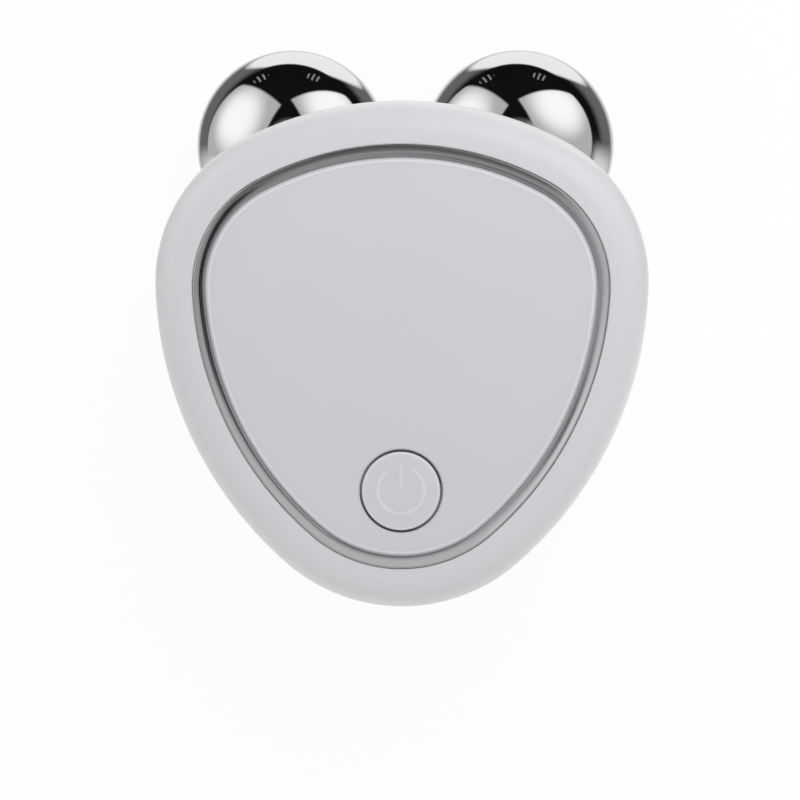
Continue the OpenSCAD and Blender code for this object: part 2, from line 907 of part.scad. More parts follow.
rear_shell();
front_shell();
trim_ring();
front_plate();
plate_tape();
housing_screws();
power_button();
switch_body();
switch_plunger();
circuit_board();
board_screws();
control_chip();
charger_chip();
boost_inductor();
filter_capacitors();
charging_socket();
socket_tongue();
battery();
battery_pad();
battery_leads();
right_ball();
right_hub();
right_bush();
right_clip();
right_washer();
right_axle();
right_nut();
right_terminal();
right_lead();
left_ball();
left_hub();
left_bush();
left_clip();
left_washer();
left_axle();
left_nut();
left_terminal();
left_lead();
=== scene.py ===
"""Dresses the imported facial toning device: satin casing, polished trim ring, front plate,
button and mirror balls, on a pale floor under soft studio light."""

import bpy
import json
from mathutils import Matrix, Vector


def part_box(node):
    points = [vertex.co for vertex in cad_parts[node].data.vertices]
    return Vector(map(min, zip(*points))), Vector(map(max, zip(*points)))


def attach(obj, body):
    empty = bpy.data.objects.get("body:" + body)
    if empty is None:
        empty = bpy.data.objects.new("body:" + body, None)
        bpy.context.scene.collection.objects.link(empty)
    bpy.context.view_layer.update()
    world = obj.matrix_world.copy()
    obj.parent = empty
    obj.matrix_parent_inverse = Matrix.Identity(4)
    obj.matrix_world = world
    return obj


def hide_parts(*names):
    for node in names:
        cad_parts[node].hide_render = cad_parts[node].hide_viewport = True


bl_info = {
    "name": "Facial Toning Device",
    "version": (1, 0, 0),
    "blender": (4, 5, 0),
    "location": "3D View > Sidebar > Toner",
    "description": "Builds the visible pieces and finishes of a two-ball facial toning device",
    "category": "Object",
}

import json
import math

import bmesh
import bpy
from bpy.props import FloatProperty, FloatVectorProperty, IntProperty, PointerProperty
from mathutils import Matrix, Vector

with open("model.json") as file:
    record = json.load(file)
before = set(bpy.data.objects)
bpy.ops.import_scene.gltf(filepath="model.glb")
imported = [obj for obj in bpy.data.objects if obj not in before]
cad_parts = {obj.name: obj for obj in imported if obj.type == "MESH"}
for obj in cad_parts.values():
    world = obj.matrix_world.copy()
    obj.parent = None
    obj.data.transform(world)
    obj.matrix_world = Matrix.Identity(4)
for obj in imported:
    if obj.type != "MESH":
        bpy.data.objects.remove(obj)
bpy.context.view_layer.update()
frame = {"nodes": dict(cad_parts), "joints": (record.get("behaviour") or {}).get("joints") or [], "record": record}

MM = 0.001

CASING = "casing"
BUTTON = "button"
ROLLERS = {"right": "right_roller", "left": "left_roller"}


# ---- what the frame says ----

def box_size(node):
    low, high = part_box(node)
    return high - low


def box_top(node):
    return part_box(node)[1].z


def joint(name):
    return next(j for j in frame["joints"] if j["name"] == name)


def ball_centre(side):
    return Vector(joint(side + "_ball_roll")["pos_m"])


def ball_axis(side):
    return Vector(joint(side + "_ball_roll")["axis"]).normalized()


BODY_W = box_size("front_shell").x
BODY_H = box_size("front_shell").y
SPLIT_Z = box_top("rear_shell")
RIM_Z = box_top("front_shell")
PLATE_Z = box_top("front_plate")
DECK_TOP_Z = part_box("trim_ring")[0].z
BALL_SLACK = 0.005 * MM  # keeps the smoother ball inside the box of the solid one
BALL_R = box_size("right_ball").z / 2 - BALL_SLACK
BUTTON_AT = (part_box("power_button")[0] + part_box("power_button")[1]) / 2
SYMBOL_H = 0.1 * MM
CAP_Z = box_top("power_button") - SYMBOL_H

ROUND_STEPS = 128  # points around a sphere or a turned piece
SADDLE_STEPS = 256
CREASE_DEGREES = 32  # edges sharper than this stay sharp
MERGE = 0.0001 * MM  # points closer than this are one
PAST = 1 * MM  # how far a cutting tool reaches past what it cuts


# ---- sizes and colours ----

def length(name, description, default, lowest=0):
    """A length in metres, from a default and a lowest value in millimetres."""
    return FloatProperty(name=name, description=description, default=default / 1000,
                         min=lowest / 1000, unit="LENGTH", precision=5)


def number(name, description, default, low, high):
    return FloatProperty(name=name, description=description, default=default, min=low, max=high)


def amount(name, description, default):
    return FloatProperty(name=name, description=description, default=default, min=0)


def colour(name, description, default):
    return FloatVectorProperty(name=name, description=description, default=default, size=3,
                               min=0, max=1, subtype="COLOR")


class ToningDeviceCasing(bpy.types.PropertyGroup):
    """Sizes of the two shells"""
    top_r: length("Top radius", "Radius of the body's upper edge", 43.5)
    corner_r: length("Corner radius", "Radius of the two upper corners", 20)
    side_r: length("Side radius", "Radius of the two long sides", 48)
    nose_r: length("Nose radius", "Radius of the lower end", 22)
    wall: length("Wall", "Wall of the two shells", 2)
    base_inset: length("Base inset", "How far the rest face lies inside the outline", 16)
    rim_w: length("Rim width", "Width of the rounding around the front", 4)
    rim_h: length("Rim height", "Height of the rounding around the front", 4.8)
    lap_h: length("Lap height", "Height of the tongue that locates the shells", 1.15)
    lap_gap: length("Lap gap", "Clearance around that tongue", 0.1)
    seam: length("Seam", "Rounding of the two shells' edges at the parting line", 0.18)
    cup_gap: length("Cup gap", "Clearance between a ball and its cup", 0.8)
    saddle_r: length("Saddle radius", "Radius of the hollow behind the balls", 30)
    saddle_gap: length("Saddle gap", "Distance of that hollow from the rest face", 0.55)
    saddle_drop: length("Saddle drop", "Depth of that hollow's centre below the rest face", 4)
    slot_gap: length("Slot gap", "Clearance of the charging slot around the socket", 0.25)
    slot_edge: length("Slot edge", "Width of the chamfer of that slot's mouth", 0.35)
    slot_bevel: length("Slot bevel", "Depth of that chamfer", 0.7)
    skin: length("Skin", "Depth to which the casing's outside is drawn finer than its inside", 0.8)
    over_cut: length("Over-cut", "How far the smooth cups and hollow lie below the solid's", 0.02)
    fineness: IntProperty(name="Fineness", description="Points of the outline, as a multiple of 40",
                          default=7, min=1, max=12)


class ToningDeviceFront(bpy.types.PropertyGroup):
    """Sizes of the casing's face, the trim ring, the front plate and the button"""
    bezel_w: length("Bezel width", "Width of the casing's face around the ring", 4.9)
    bezel_drop: length("Bezel drop", "How much wider that face is at the top", 0.7)
    deck_skin: length("Deck skin", "Depth to which the deck is drawn plain under the ring", 0.3)
    deck_lap: length("Deck lap", "Overlap of the forms that open the deck", 0.1)
    trim_w: length("Ring width", "Width of the trim ring", 1.9)
    seat_edge: length("Seat edge", "Chamfer of the casing's edge around the ring", 0.15)
    seat_gap: length("Seat gap", "Clearance around the ring", 0.06)
    ring_sag: length("Ring sag", "How far the ring's crown rises over its outer shoulder", 0.115)
    shoulder: length("Ring shoulder", "Rounding of the ring's outer edge", 0.22)
    ring_drop: length("Ring drop", "How far the ring's crown lies below the solid's top", 0.03)
    crown: number("Crown", "Place of the ring's crown, as a share of its width", 0.725, 0.3, 0.75)
    lip_edge: length("Lip edge", "Chamfer of the ring's edge over its channel", 0.03)
    lip_slant: length("Lip slant", "How far that channel's wall leans", 0.01)
    channel_w: length("Channel width", "Width of the ring's channel beside the plate", 0.42)
    channel_d: length("Channel depth", "Depth of that channel below the plate", 0.35)
    plate_edge: length("Plate edge", "Width of the front plate's rounding", 0.75)
    plate_fall: length("Plate fall", "Height of the front plate's rounding", 0.33)
    cap_d: length("Button diameter", "Diameter of the button's cap", 9.8)
    cap_gap: length("Button gap", "Clearance around the cap", 0.3)
    cap_edge: length("Button edge", "Rounding of the cap's edge", 0.3)
    hole_edge: length("Hole edge", "Rounding of the plate's edge around the cap", 0.16)
    flange_d: length("Flange diameter", "Diameter of the flange that keeps the button in", 11.8)
    flange_h: length("Flange height", "Thickness of that flange", 0.9)
    flange_depth: length("Flange depth", "How far its top lies below the plate's", 1.45)
    stem_d: length("Stem diameter", "Diameter of the button's stem", 4.4)
    symbol_r: length("Symbol radius", "Radius of the raised ring on the cap", 2.9)
    symbol_w: length("Symbol width", "Width of the raised strokes on the cap", 0.7)
    symbol_open: number("Symbol gap", "Opening of the raised ring in degrees", 60, 0, 180)
    bar_l: length("Bar length", "Length of the raised bar", 3.5)
    bar_y: length("Bar place", "How far the bar's middle lies above the cap's", 1.6)


class ToningDeviceBalls(bpy.types.PropertyGroup):
    """Sizes of the hollow balls"""
    wall: length("Ball wall", "Wall of a ball", 1.4)
    flat: length("Flat", "Height of the flat where the hub shows", 1)
    hub_d: length("Hub diameter", "Outer diameter of the hub", 10)
    seat_l: length("Seat length", "Length of the ball's inner collar", 3.5)
    seat_wall: length("Seat wall", "Wall of that collar", 1.5)
    fit: length("Fit", "Clearance of the hub in the ball", 0.02)


class ToningDeviceFinish(bpy.types.PropertyGroup):
    """Colours of what shows"""
    shell: colour("Shell", "Satin moulded casing", (0.655, 0.642, 0.67))
    plate: colour("Plate", "Front plate and button", (0.626, 0.609, 0.65))
    ring: colour("Ring", "Polished trim ring", (0.62, 0.62, 0.635))
    ball: colour("Ball", "Mirror plating of the balls", (0.86, 0.86, 0.87))


class ToningDeviceStudio(bpy.types.PropertyGroup):
    """Camera, light and floor"""
    distance: length("Distance", "Camera's height above the front plate", 680)
    foot_x: length("Foot x", "How far right of the middle the camera stands", 17)
    foot_y: length("Foot y", "How far above the middle the camera stands", 6.5)
    aim_x: length("Aim x", "Middle of the picture", -0.12, -100)
    aim_y: length("Aim y", "Middle of the picture", -5.74, -100)
    view_w: length("View width", "Width that the picture shows at the front plate", 99.77)
    ambient: amount("Ambient", "Level of the even light overhead", 0.1)
    walls: amount("Walls", "How much brighter that light is at the horizon", 1.7)
    key: amount("Key", "Power of the key light in watts", 0.52)
    fill: amount("Fill", "Power of the fill light in watts", 0.8)
    floor: colour("Floor", "Pale floor", (0.97, 0.97, 0.97))


GROUPS = {
    "toner_casing": ToningDeviceCasing,
    "toner_front": ToningDeviceFront,
    "toner_balls": ToningDeviceBalls,
    "toner_finish": ToningDeviceFinish,
    "toner_studio": ToningDeviceStudio,
}


# ---- outline of the body ----

ARC_SHARES = (3, 7, 5, 5)  # of each half's points: top, corner, side and nose


def direction(p, q):
    return math.degrees(math.atan2(q.y - p.y, q.x - p.x))


def circles_meet(a, ra, b, rb):
    """The left one of the two points where the circles of radius ra about a and rb about b meet."""
    d = (b - a).length
    u = (b - a) / d
    along = (ra ** 2 - rb ** 2 + d ** 2) / (2 * d)
    off = math.sqrt(ra ** 2 - along ** 2)
    return a + along * u + off * Vector((u.y, -u.x))


def outline_stations(c, drop=0.0):
    """The body's outline as (centre, radius, direction) at each point, clockwise from the top.
    Its upper arcs lie lower by drop."""
    top = Vector((0, BODY_H / 2 - drop - c.top_r))
    lean = math.sqrt((c.top_r - c.corner_r) ** 2 - (BODY_W / 2 - c.corner_r) ** 2)
    corner = Vector((BODY_W / 2 - c.corner_r, top.y + lean))
    nose = Vector((0, c.nose_r - BODY_H / 2))
    side = circles_meet(corner, c.side_r - c.corner_r, nose, c.side_r - c.nose_r)
    turns = [90, direction(top, corner), direction(side, corner), direction(side, nose), -90]
    arcs = zip((top, corner, side, nose), (c.top_r, c.corner_r, c.side_r, c.nose_r), turns, turns[1:])
    half = []
    for share, (centre, radius, start, end) in zip(ARC_SHARES, arcs):
        steps = share * c.fineness
        half += [(centre, radius, start + (end - start) * i / steps) for i in range(steps)]
    half.append((nose, c.nose_r, -90))
    mirrored = [(Vector((-p.x, p.y)), r, 180 - a) for p, r, a in reversed(half[1:-1])]
    return half + mirrored


def place(station, inset, z):
    """A point of the outline, moved in by inset, at the height z."""
    centre, radius, angle = station
    a = math.radians(angle)
    return Vector((centre.x + (radius - inset) * math.cos(a), centre.y + (radius - inset) * math.sin(a), z))


def edge_loop(bm, points):
    verts = [bm.verts.new(p) for p in points]
    edges = [bm.edges.new((a, b)) for a, b in zip(verts, verts[1:] + verts[:1])]
    return verts, edges


def sweep(bm, rings, closed=False):
    """Extrudes an outline through rings of (stations, inset, z). An open run of rings is capped
    at both ends, and a closed one keeps each point's inset in millimetres as V of its UV map."""
    tag = bm.verts.layers.int.new("station")
    verts, first = edge_loop(bm, [place(s, *rings[0][1:]) for s in rings[0][0]])
    for i, v in enumerate(verts):
        v[tag] = i
    last = first
    for stations, inset, z in rings[1:]:
        made = bmesh.ops.extrude_edge_only(bm, edges=last)["geom"]
        moved = {g for g in made if isinstance(g, bmesh.types.BMVert)}
        for v in moved:
            v.co = place(stations[v[tag]], inset, z)
        last = [g for g in made if isinstance(g, bmesh.types.BMEdge) and moved.issuperset(g.verts)]
    if closed:
        bmesh.ops.bridge_loops(bm, edges=first + last)
        across = bm.loops.layers.uv.new("across")
        bm.verts.index_update()
        points = len(rings[0][0])
        for face in bm.faces:
            for loop in face.loops:
                inset = rings[loop.vert.index // points][1]
                loop[across].uv = (loop.vert[tag] / points, inset / MM)
    else:
        bmesh.ops.edgeloop_fill(bm, edges=first)
        bmesh.ops.edgeloop_fill(bm, edges=last)


def arc(start, end, steps):
    return [start + (end - start) * i / steps for i in range(steps + 1)]


def quarter(steps, w, h):
    """Points of a quarter ellipse from (0, 0), rising upright, to (w, h), lying flat."""
    turns = [math.pi / 2 * i / steps for i in range(steps + 1)]
    return [(w * (1 - math.cos(t)), h * math.sin(t)) for t in turns]


# ---- meshes ----

def to_object(bm, name):
    """A linked object that holds the bmesh, with its faces pointing outwards."""
    bmesh.ops.recalc_face_normals(bm, faces=bm.faces)
    mesh = bpy.data.meshes.new(name)
    bm.to_mesh(mesh)
    bm.free()
    obj = bpy.data.objects.new(name, mesh)
    bpy.context.scene.collection.objects.link(obj)
    return obj


def settle(obj):
    """Makes what the modifiers give the object's own mesh."""
    graph = bpy.context.evaluated_depsgraph_get()
    mesh = bpy.data.meshes.new_from_object(obj.evaluated_get(graph))
    obj.modifiers.clear()
    old = obj.data
    obj.data = mesh
    bpy.data.meshes.remove(old)


def cut(obj, tools):
    """Cuts each tool's form out of obj, and removes the tools."""
    for tool in tools:
        step = obj.modifiers.new("cut", "BOOLEAN")
        step.operation = "DIFFERENCE"
        step.solver = "EXACT"
        step.object = tool
        settle(obj)
        mesh = tool.data
        bpy.data.objects.remove(tool)
        bpy.data.meshes.remove(mesh)
    return obj


def smooth(obj):
    """Shades obj smooth, apart from its sharp edges."""
    bm = bmesh.new()
    bm.from_mesh(obj.data)
    for face in bm.faces:
        face.smooth = True
    for edge in bm.edges:
        edge.smooth = edge.calc_face_angle(0) < math.radians(CREASE_DEGREES)
    bm.to_mesh(obj.data)
    bm.free()


def finished(obj, material, body, replaced):
    """Gives a piece its finish, puts it on the body that it rides on, and hides the CAD parts that it stands for.
    """
    obj.data.materials.clear()
    obj.data.materials.append(material)
    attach(obj, body)
    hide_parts(*replaced)
    return obj


def along(stations, rings):
    """Rings of (inset, z) with the outline that they follow."""
    return [(stations, *ring) for ring in rings]


def swept_object(name, rings, closed=False):
    bm = bmesh.new()
    sweep(bm, rings, closed)
    return to_object(bm, name)


def sphere_object(name, r, centre):
    bm = bmesh.new()
    bmesh.ops.create_uvsphere(bm, u_segments=ROUND_STEPS, v_segments=ROUND_STEPS // 2, radius=r)
    bmesh.ops.translate(bm, verts=bm.verts, vec=centre)
    return to_object(bm, name)


def turned(name, profile, at):
    """A closed section of (radius, height) points, spun about the Z axis of the space at."""
    bm = bmesh.new()
    verts, edges = edge_loop(bm, [Vector((r, 0, z)) for r, z in profile])
    bmesh.ops.spin(bm, geom=verts + edges, cent=(0, 0, 0), axis=(0, 0, 1), angle=2 * math.pi,
                   steps=ROUND_STEPS, use_merge=True)
    bmesh.ops.remove_doubles(bm, verts=bm.verts, dist=MERGE)
    bmesh.ops.transform(bm, matrix=at, verts=bm.verts)
    return to_object(bm, name)


def node_copy(name, node):
    """A merged copy of a CAD node's mesh, without the normals that its file gave it."""
    bm = bmesh.new()
    bm.from_mesh(frame["nodes"][node].data)
    bmesh.ops.remove_doubles(bm, verts=bm.verts, dist=MERGE)
    obj = to_object(bm, name)
    given = obj.data.attributes.get("custom_normal")
    if given:
        obj.data.attributes.remove(given)
    return obj


def cavity_object(rings, node):
    """What is empty in a CAD node, inside the form that the rings give."""
    return cut(swept_object("cavity", rings), [node_copy("solid", node)])


def slot_object(c):
    """The charging slot: a rounded opening, through the nose, whose mouth is chamfered."""
    low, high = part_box("charging_socket")
    middle = (low + high) / 2
    half_w = (high - low).x / 2 + c.slot_gap
    half_h = (high - low).z / 2 + c.slot_gap
    nose_y = -BODY_H / 2
    sections = (
        (nose_y - 2 * PAST, c.slot_edge),
        (nose_y, c.slot_edge),
        (nose_y + c.slot_bevel, 0),
        (nose_y + c.wall + PAST, 0))
    bm = bmesh.new()
    last = None
    for y, grow in sections:
        r = half_h + grow
        turns = arc(-math.pi / 2, math.pi / 2, 16)
        right = [(half_w - half_h + r * math.cos(t), r * math.sin(t)) for t in turns]
        loop = right + [(-x, z) for x, z in reversed(right)]
        edges = edge_loop(bm, [Vector((middle.x + x, y, middle.z + z)) for x, z in loop])[1]
        if last is None:
            bmesh.ops.edgeloop_fill(bm, edges=edges)
        else:
            bmesh.ops.bridge_loops(bm, edges=last + edges)
        last = edges
    bmesh.ops.edgeloop_fill(bm, edges=last)
    return to_object(bm, "slot")


def axle_space(side):
    """The space of an axle: its origin is the ball's centre, and Z points outwards."""
    turn = Vector((0, 0, 1)).rotation_difference(ball_axis(side))
    return Matrix.Translation(ball_centre(side)) @ turn.to_matrix().to_4x4()


def upright(x, y):
    return Matrix.Translation((x, y, 0))


# ---- shader node groups ----

def new_group(name, inputs, outputs):
    """A node group with float inputs, given as (name, default), and float outputs."""
    group = bpy.data.node_groups.new(name, "ShaderNodeTree")
    for label, value in inputs:
        socket = group.interface.new_socket(name=label, in_out="INPUT", socket_type="NodeSocketFloat")
        socket.default_value = value
    for label in outputs:
        group.interface.new_socket(name=label, in_out="OUTPUT", socket_type="NodeSocketFloat")
    return group, group.nodes.new("NodeGroupInput"), group.nodes.new("NodeGroupOutput")


def feed(tree, socket, value):
    """Links value to the socket where it is one itself, and sets it where it is plain."""
    if isinstance(value, bpy.types.NodeSocket):
        tree.links.new(value, socket)
    else:
        socket.default_value = value


def feed_all(tree, node, **values):
    """Feeds a node's inputs by name, with an underscore for each space."""
    for label, value in values.items():
        feed(tree, node.inputs[label.replace("_", " ")], value)
    return node


def add_node(tree, kind, **values):
    return feed_all(tree, tree.nodes.new("ShaderNode" + kind), **values)


def math_node(tree, operation, a, b):
    node = add_node(tree, "Math")
    node.operation = operation
    feed(tree, node.inputs[0], a)
    feed(tree, node.inputs[1], b)
    return node.outputs[0]


def object_space(tree):
    return add_node(tree, "TexCoord").outputs["Object"]


def noise(tree, coordinates, scale, detail=2.0):
    return add_node(tree, "TexNoise", Vector=coordinates, Scale=scale, Detail=detail).outputs["Fac"]


def remap(tree, value, low, high, to_low, to_high, kind="LINEAR"):
    node = add_node(tree, "MapRange", Value=value, From_Min=low, From_Max=high, To_Min=to_low, To_Max=to_high)
    node.interpolation_type = kind
    return node.outputs["Result"]


def mask(tree, value, none, full):
    """Rises smoothly from 0 at none to 1 at full."""
    return remap(tree, value, none, full, 0, 1, "SMOOTHSTEP")


def moulded_grain_group():
    """The fine spark-eroded grain of moulded plastic, with slow drifts of its gloss."""
    if "moulded_grain" in bpy.data.node_groups:
        return bpy.data.node_groups["moulded_grain"]
    group, given, out = new_group(
        "moulded_grain",
        [("Grain Scale", 4000), ("Roughness", 0.4), ("Drift", 0.05)],
        ["Roughness", "Height", "Tone"])
    where = object_space(group)
    grain = noise(group, where, given.outputs["Grain Scale"], 3)
    drift = noise(group, where, 60, 2)
    centred = math_node(group, "SUBTRACT", drift, 0.5)
    spread = math_node(group, "MULTIPLY", centred, given.outputs["Drift"])
    group.links.new(math_node(group, "ADD", given.outputs["Roughness"], spread), out.inputs["Roughness"])
    group.links.new(grain, out.inputs["Height"])
    group.links.new(drift, out.inputs["Tone"])
    return group


def painted_edge_highlight_group():
    """Painted highlight: a lighter colour on a moulded face's rounded edge and on what stands raised on it, found
    by height below or above the face.
    """
    if "painted_edge_highlight" in bpy.data.node_groups:
        return bpy.data.node_groups["painted_edge_highlight"]
    group, given, out = new_group("painted_edge_highlight", [("Face Height", 0)], ["Mask"])
    parts = add_node(group, "SeparateXYZ", Vector=object_space(group))
    depth = math_node(group, "SUBTRACT", given.outputs["Face Height"], parts.outputs["Z"])
    # painted highlight: full in a narrow band just below the face's height, and up to 0.4 on what stands above it
    rim = math_node(group, "MULTIPLY",
                    mask(group, depth, 0.0005 * MM, 0.006 * MM),
                    mask(group, depth, 0.06 * MM, 0.012 * MM))
    raised = remap(group, depth, -0.01 * MM, -0.07 * MM, 0, 0.4, "SMOOTHSTEP")
    group.links.new(math_node(group, "MAXIMUM", rim, raised), out.inputs["Mask"])
    return group


# ---- materials ----

def new_material(name, base, metallic=0.0, roughness=0.5):
    """A material with its Principled shader set to plain values; returns (material, tree, shader)."""
    material = bpy.data.materials.new(name)
    material.use_nodes = True
    tree = material.node_tree
    shader = tree.nodes["Principled BSDF"]
    feed_all(tree, shader, Base_Color=(*base, 1), Metallic=metallic, Roughness=roughness)
    return material, tree, shader


def use_group(tree, group, **values):
    node = add_node(tree, "Group")
    node.node_tree = group
    return feed_all(tree, node, **values)


def bump(tree, shader, height, strength, distance):
    node = add_node(tree, "Bump", Strength=strength, Distance=distance, Height=height)
    tree.links.new(node.outputs["Normal"], shader.inputs["Normal"])


def blend_colours(tree, shader, factor, dark, light):
    """Sets the base colour between two colours, of which each is a socket or a plain colour."""
    mix = add_node(tree, "Mix")
    mix.data_type = "RGBA"
    feed_all(tree, mix, Factor=factor, A=dark, B=light)
    tree.links.new(mix.outputs["Result"], shader.inputs["Base Color"])


def scaled(base, factor):
    """A lighter or darker tone of base, with its alpha."""
    return (*(min(1, k * factor) for k in base), 1)


def plastic(name, base, roughness, coat, grain, strength, sheen=0.0):
    material, tree, shader = new_material(name, base)
    marks = use_group(tree, moulded_grain_group(), Grain_Scale=grain, Roughness=roughness, Drift=0.06)
    feed_all(tree, shader, Roughness=marks.outputs["Roughness"], Coat_Weight=coat, Coat_Roughness=0.12,
             Sheen_Weight=sheen, Sheen_Roughness=0.4)
    blend_colours(tree, shader, marks.outputs["Tone"], scaled(base, 0.988), scaled(base, 1.012))
    bump(tree, shader, marks.outputs["Height"], strength, 0.02 * MM)
    return material


def satin_shell(finish):
    """The casing's plastic, made once for both shells."""
    made = bpy.data.materials.get("satin_shell")
    return made or plastic("satin_shell", finish.shell, 0.34, 0.25, 5000, 0.25, sheen=0.8)


def painted_highlight_plastic(name, base, roughness, face_z, strength):
    """Satin plastic with a painted highlight, a lighter colour, on its edges around the face at the height face_z
    and on what stands raised on it.
    """
    material = plastic(name, base, roughness, 0.0, 6500, strength)
    tree = material.node_tree
    shader = tree.nodes["Principled BSDF"]
    edges = use_group(tree, painted_edge_highlight_group(), Face_Height=face_z)
    plain = shader.inputs["Base Color"].links[0].from_socket
    # painted highlight: the base colour turns 1.2 times lighter where the mask is full
    blend_colours(tree, shader, edges.outputs["Mask"], plain, scaled(base, 1.2))
    return material


def plate_plastic(finish):
    return painted_highlight_plastic("soft_plate", finish.plate, 0.46, PLATE_Z, 0.4)


def button_plastic(finish):
    return painted_highlight_plastic("soft_button", finish.plate, 0.4, CAP_Z, 0.3)


def ball_plating(finish):
    """Mirror plating with the faint haze and hairlines that polishing leaves."""
    material, tree, shader = new_material("ball_plating", finish.ball, metallic=1.0, roughness=0.025)
    where = object_space(tree)
    haze = math_node(tree, "POWER", noise(tree, where, 180, 4), 3)
    rough = math_node(tree, "ADD", math_node(tree, "MULTIPLY", haze, 0.03), 0.025)
    tree.links.new(rough, shader.inputs["Roughness"])
    bump(tree, shader, noise(tree, where, 2500, 1), 0.02, 0.005 * MM)
    return material


def ring_plating(finish):
    """Plating with the fine lines that brushing along the ring leaves."""
    material, tree, shader = new_material("ring_plating", finish.ring, metallic=1.0, roughness=0.12)
    across = add_node(tree, "SeparateXYZ", Vector=add_node(tree, "TexCoord").outputs["UV"])
    lines = add_node(tree, "TexNoise")
    lines.noise_dimensions = "1D"
    feed_all(tree, lines, W=across.outputs["Y"], Scale=9, Detail=2)
    tree.links.new(remap(tree, lines.outputs["Fac"], 0.3, 0.7, 0.08, 0.16), shader.inputs["Roughness"])
    bump(tree, shader, lines.outputs["Fac"], 0.1, 0.02 * MM)
    return material


def inner_plastic(name, base, roughness):
    return plastic(name, base, roughness, 0.0, 3000, 0.3)


def turned_metal(name, base, roughness):
    """Bar stock with fine turning lines."""
    material, tree, shader = new_material(name, base, metallic=1.0, roughness=roughness)
    lines = add_node(tree, "TexWave", Vector=object_space(tree), Scale=900, Distortion=1.5)
    tree.links.new(remap(tree, lines.outputs["Fac"], 0, 1, roughness * 0.8, roughness * 1.2),
                   shader.inputs["Roughness"])
    bump(tree, shader, lines.outputs["Fac"], 0.15, 0.01 * MM)
    return material


def sintered_bronze():
    """Porous bronze of the bushes."""
    material, tree, shader = new_material("sintered_bronze", (0.42, 0.22, 0.09), metallic=1.0, roughness=0.42)
    where = object_space(tree)
    pores = add_node(tree, "TexVoronoi", Vector=where, Scale=6000)
    bump(tree, shader, pores.outputs["Distance"], 0.4, 0.02 * MM)
    blend_colours(tree, shader, noise(tree, where, 900), (0.36, 0.18, 0.07, 1), (0.46, 0.25, 0.11, 1))
    return material


def solder_mask():
    """Green board with lighter tracks under the mask."""
    material, tree, shader = new_material("solder_mask", (0.01, 0.11, 0.05), roughness=0.3)
    tracks = add_node(tree, "TexBrick", Vector=object_space(tree), Scale=260, Mortar_Size=0.06)
    blend_colours(tree, shader, tracks.outputs["Fac"], (0.006, 0.09, 0.04, 1), (0.03, 0.24, 0.11, 1))
    bump(tree, shader, tracks.outputs["Fac"], 0.3, 0.03 * MM)
    return material


def battery_foil():
    """Creased foil of the battery's pouch."""
    material, tree, shader = new_material("pouch_foil", (0.55, 0.56, 0.58), metallic=1.0, roughness=0.38)
    folds = noise(tree, object_space(tree), 350, 5)
    bump(tree, shader, folds, 0.35, 0.15 * MM)
    tree.links.new(remap(tree, folds, 0.3, 0.7, 0.3, 0.5), shader.inputs["Roughness"])
    return material


def soft_foam():
    """Closed-cell foam under the battery."""
    material, tree, shader = new_material("soft_foam", (0.035, 0.035, 0.04), roughness=0.9)
    cells = add_node(tree, "TexVoronoi", Vector=object_space(tree), Scale=2500)
    bump(tree, shader, cells.outputs["Distance"], 0.8, 0.1 * MM)
    blend_colours(tree, shader, cells.outputs["Distance"], (0.02, 0.02, 0.022, 1), (0.05, 0.05, 0.055, 1))
    return material


# ---- pieces ----

def rear_rings(c, inset, floor):
    """The rear shell's bowl, from the height floor up to the parting line, moved in by inset."""
    bowl = quarter(60, c.base_inset, SPLIT_Z - floor)
    return [(inset + w, SPLIT_Z - h) for w, h in reversed(bowl)]


def saddle_object(c):
    """The hollow between the balls: a wide rod across the casing."""
    reach = math.sqrt(c.saddle_r ** 2 - c.saddle_drop ** 2)
    y = BODY_H / 2 - c.base_inset + c.saddle_gap + reach
    r = c.saddle_r + c.over_cut
    bm = bmesh.new()
    bmesh.ops.create_cone(bm, cap_ends=True, segments=SADDLE_STEPS, radius1=r, radius2=r, depth=2 * BODY_W)
    across = Matrix.Translation((0, y, -c.saddle_drop)) @ Matrix.Rotation(math.pi / 2, 4, "Y")
    bmesh.ops.transform(bm, matrix=across, verts=bm.verts)
    return to_object(bm, "saddle")


def cup_objects(c):
    r = BALL_R + c.cup_gap + c.over_cut
    return [sphere_object("cup", r, ball_centre(side)) for side in ROLLERS]


class TONER_OT_rear_casing(bpy.types.Operator):
    """Rear half of the casing: a round-backed bowl with a cup for each ball"""
    bl_idname = "toner.rear_casing"
    bl_label = "Rear Casing"

    def execute(self, context):
        c = context.scene.toner_casing
        finish = context.scene.toner_finish
        body = outline_stations(c)
        casing = swept_object("rear_casing", along(body, rear_rings(c, 0, 0)))
        inside = along(body, rear_rings(c, c.skin, c.skin) + [(c.skin, SPLIT_Z + c.skin)])
        cut(casing, [cavity_object(inside, "rear_shell"), saddle_object(c), *cup_objects(c), slot_object(c)])
        smooth(casing)
        finished(casing, satin_shell(finish), CASING, ["rear_shell"])
        return {"FINISHED"}


